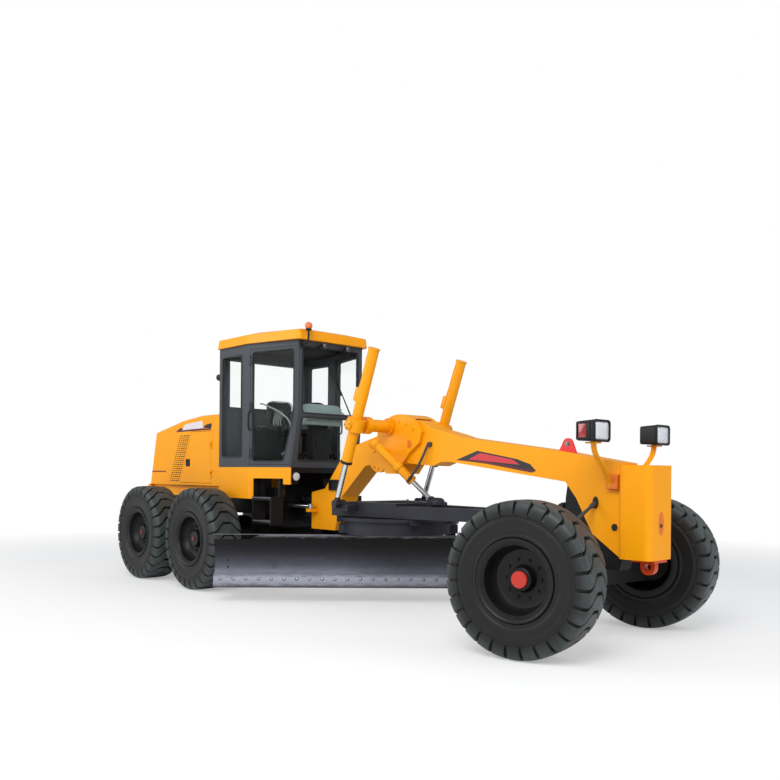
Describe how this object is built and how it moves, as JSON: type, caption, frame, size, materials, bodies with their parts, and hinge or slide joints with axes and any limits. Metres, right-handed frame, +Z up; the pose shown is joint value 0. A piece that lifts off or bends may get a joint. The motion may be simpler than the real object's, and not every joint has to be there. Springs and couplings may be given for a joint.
{
  "type": "motor grader",
  "caption": "Road-building grader: cab and engine on tandem wheels, hinged to an arched front frame with steered axle, turning circle and angled blade.",
  "frame": {"origin": "on the ground under the middle of the machine's box", "axes": "+X forward, +Y left, +Z up"},
  "size_m": [9.0601, 3.2911, 3.513],
  "materials": {
    "yellow": "gloss yellow enamel",
    "cab_grey": "satin dark grey",
    "black": "satin black",
    "blade_steel": "worn bare steel",
    "slate": "satin slate",
    "chrome": "hard chrome",
    "tyre": "matt black rubber",
    "rim": "satin black",
    "glass": "clear glass",
    "fabric": "dark cloth",
    "plastic": "matt dark plastic",
    "orange": "clear orange plastic",
    "red": "orange-red enamel",
    "cast": "cast iron"
  },
  "bodies": {
    "rear": {"rear_frame": "black", "rear_axle": "black", "tandem_cases": "black", "engine_block": "cast", "hood": "yellow", "rear_grille": "black", "cab_base": "yellow", "steps": "black", "cab_frame": "cab_grey", "cab_glass": "glass", "cab_roof": "yellow", "seat_base": "plastic", "seat": "fabric", "cab_controls": "plastic", "beacon": "orange", "cab_lamps": "black"},
    "front": {"front_frame": "yellow", "saddle": "yellow", "front_axle": "black", "head_lamps": "black", "tow_hitch": "red"},
    "knuckle_left": {"knuckle_left": "black"},
    "knuckle_right": {"knuckle_right": "black"},
    "tie_rod": {"tie_rod": "black"},
    "wheel_front_left": {"tyre_front_left": "tyre", "rim_front_left": "rim"},
    "wheel_front_right": {"tyre_front_right": "tyre", "rim_front_right": "rim"},
    "wheel_middle_left": {"tyre_middle_left": "tyre", "rim_middle_left": "rim"},
    "wheel_middle_right": {"tyre_middle_right": "tyre", "rim_middle_right": "rim"},
    "wheel_rear_left": {"tyre_rear_left": "tyre", "rim_rear_left": "rim"},
    "wheel_rear_right": {"tyre_rear_right": "tyre", "rim_rear_right": "rim"},
    "drawbar": {"drawbar": "black"},
    "circle": {"circle": "slate"},
    "blade_carrier": {"blade_carrier": "slate"},
    "blade": {"blade": "blade_steel", "blade_shift_rod": "chrome"},
    "lift_barrel_left": {"lift_barrel_left": "yellow"},
    "lift_rod_left": {"lift_rod_left": "chrome"},
    "lift_barrel_right": {"lift_barrel_right": "yellow"},
    "lift_rod_right": {"lift_rod_right": "chrome"},
    "shift_barrel": {"shift_barrel": "yellow"},
    "shift_rod": {"shift_rod": "chrome"},
    "articulation_barrel_left": {"articulation_barrel_left": "black"},
    "articulation_rod_left": {"articulation_rod_left": "chrome"},
    "articulation_barrel_right": {"articulation_barrel_right": "black"},
    "articulation_rod_right": {"articulation_rod_right": "chrome"},
    "door_left": {"door_left": "cab_grey", "door_glass_left": "glass"},
    "engine_door_left": {"engine_door_left": "yellow"},
    "door_right": {"door_right": "cab_grey", "door_glass_right": "glass"},
    "engine_door_right": {"engine_door_right": "yellow"}
  },
  "joints": [
    {"name": "articulation", "type": "hinge", "parent": "rear", "child": "front", "pos_m": [-0.693, 0, 1.07], "axis": [0, 0, 1], "range_deg": [-25, 25]},
    {"name": "steer_right", "type": "hinge", "parent": "front", "child": "knuckle_right", "pos_m": [3.787, -0.908, 0.675], "axis": [0, 0, 1], "range_deg": [-63.5, 36.5]},
    {"name": "steer_left", "type": "hinge", "parent": "front", "child": "knuckle_left", "pos_m": [3.787, 0.908, 0.675], "axis": [0, 0, 1], "range_deg": [-63.5, 36.5]},
    {"name": "tie_rod_swing", "type": "hinge", "parent": "knuckle_right", "child": "tie_rod", "pos_m": [3.65573, -0.93952, 0.845], "axis": [0, 0, 1], "range_deg": [-36.5, 63.5]},
    {"name": "spin_front_left", "type": "hinge", "parent": "knuckle_left", "child": "wheel_front_left", "pos_m": [3.74731, 1.0733, 0.675], "axis": [-0.2334, 0.9724, 0], "continuous": true},
    {"name": "spin_front_right", "type": "hinge", "parent": "knuckle_right", "child": "wheel_front_right", "pos_m": [3.82669, -1.0733, 0.675], "axis": [0.2334, -0.9724, 0], "continuous": true},
    {"name": "spin_middle_left", "type": "hinge", "parent": "rear", "child": "wheel_middle_left", "pos_m": [-1.663, 1.078, 0.675], "axis": [0, 1, 0], "continuous": true},
    {"name": "spin_middle_right", "type": "hinge", "parent": "rear", "child": "wheel_middle_right", "pos_m": [-1.663, -1.078, 0.675], "axis": [0, -1, 0], "continuous": true},
    {"name": "spin_rear_left", "type": "hinge", "parent": "rear", "child": "wheel_rear_left", "pos_m": [-3.201, 1.078, 0.675], "axis": [0, 1, 0], "continuous": true},
    {"name": "spin_rear_right", "type": "hinge", "parent": "rear", "child": "wheel_rear_right", "pos_m": [-3.201, -1.078, 0.675], "axis": [0, -1, 0], "continuous": true},
    {"name": "drawbar_lift", "type": "hinge", "parent": "front", "child": "drawbar", "pos_m": [3.457, 0, 1.2], "axis": [0, 1, 0], "range_deg": [-16.6, 5.85]},
    {"name": "circle_turn", "type": "hinge", "parent": "drawbar", "child": "circle", "pos_m": [1.047, 0, 0.9475], "axis": [0, 0, 1], "continuous": true},
    {"name": "blade_tilt", "type": "hinge", "parent": "circle", "child": "blade_carrier", "pos_m": [0.76029, 0.25545, 0.36], "axis": [0.6652, 0.7466, 0], "range_deg": [-5, 40]},
    {"name": "blade_shift", "type": "slide", "parent": "blade_carrier", "child": "blade", "axis": [0.6652, 0.7466, 0], "range_m": [-0.529, 0.671]},
    {"name": "lift_left_swing", "type": "hinge", "parent": "front", "child": "lift_barrel_left", "pos_m": [1.083, 0.7, 2.11], "axis": [0, 1, 0], "range_deg": [-13.89, 5.02]},
    {"name": "lift_left_stroke", "type": "slide", "parent": "lift_barrel_left", "child": "lift_rod_left", "axis": [-0.3526, 0, -0.9358], "range_m": [-0.262, 0.7361]},
    {"name": "lift_right_swing", "type": "hinge", "parent": "front", "child": "lift_barrel_right", "pos_m": [1.083, -0.7, 2.11], "axis": [0, 1, 0], "range_deg": [-13.89, 5.02]},
    {"name": "lift_right_stroke", "type": "slide", "parent": "lift_barrel_right", "child": "lift_rod_right", "axis": [-0.3526, 0, -0.9358], "range_m": [-0.262, 0.7361]},
    {"name": "shift_swing", "type": "hinge", "parent": "front", "child": "shift_barrel", "pos_m": [1.186, -0.391, 1.821], "axis": [-0.6814, 0.7319, 0], "range_deg": [-6.98, 19.43]},
    {"name": "shift_stroke", "type": "slide", "parent": "shift_barrel", "child": "shift_rod", "axis": [0.5243, 0.4881, -0.6978], "range_m": [-0.1562, 0.4358]},
    {"name": "articulation_left_swing", "type": "hinge", "parent": "rear", "child": "articulation_barrel_left", "pos_m": [-1.363, 0.33, 1.13], "axis": [0, 0, 1], "range_deg": [-6.89, 6.89]},
    {"name": "articulation_left_stroke", "type": "slide", "parent": "articulation_barrel_left", "child": "articulation_rod_left", "axis": [0.9929, -0.1189, 0], "range_m": [-0.1113, 0.1113]},
    {"name": "articulation_right_swing", "type": "hinge", "parent": "rear", "child": "articulation_barrel_right", "pos_m": [-1.363, -0.33, 1.13], "axis": [0, 0, 1], "range_deg": [-6.89, 6.89]},
    {"name": "articulation_right_stroke", "type": "slide", "parent": "articulation_barrel_right", "child": "articulation_rod_right", "axis": [0.9929, 0.1189, 0], "range_m": [-0.1113, 0.1113]},
    {"name": "door_left_hinge", "type": "hinge", "parent": "rear", "child": "door_left", "pos_m": [-1.04522, 0.75319, 2.422], "axis": [0, 0, 1], "range_deg": [0, 85]},
    {"name": "door_right_hinge", "type": "hinge", "parent": "rear", "child": "door_right", "pos_m": [-1.04522, -0.75319, 2.422], "axis": [0, 0, -1], "range_deg": [0, 85]},
    {"name": "engine_door_left_hinge", "type": "hinge", "parent": "rear", "child": "engine_door_left", "pos_m": [-2.401, 0.554, 1.8], "axis": [0, 0, -1], "range_deg": [0, 85]},
    {"name": "engine_door_right_hinge", "type": "hinge", "parent": "rear", "child": "engine_door_right", "pos_m": [-2.401, -0.554, 1.8], "axis": [0, 0, 1], "range_deg": [0, 85]}
  ],
  "couplings": [
    {"joint": "steer_left", "follows": "steer_right", "ratio": 1},
    {"joint": "tie_rod_swing", "follows": "steer_right", "ratio": -1},
    {"joint": "lift_left_swing", "follows": "drawbar_lift", "ratio": 0.82445},
    {"joint": "lift_left_stroke", "follows": "drawbar_lift", "m_per_rad": -2.5268},
    {"joint": "lift_right_swing", "follows": "drawbar_lift", "ratio": 0.82445},
    {"joint": "lift_right_stroke", "follows": "drawbar_lift", "m_per_rad": -2.5268},
    {"joint": "shift_swing", "follows": "drawbar_lift", "ratio": -1.1587},
    {"joint": "shift_stroke", "follows": "drawbar_lift", "m_per_rad": -1.4903},
    {"joint": "articulation_left_swing", "follows": "articulation", "ratio": 0.26778},
    {"joint": "articulation_left_stroke", "follows": "articulation", "m_per_rad": -0.24599},
    {"joint": "articulation_right_swing", "follows": "articulation", "ratio": 0.26778},
    {"joint": "articulation_right_stroke", "follows": "articulation", "m_per_rad": 0.24599}
  ]
}
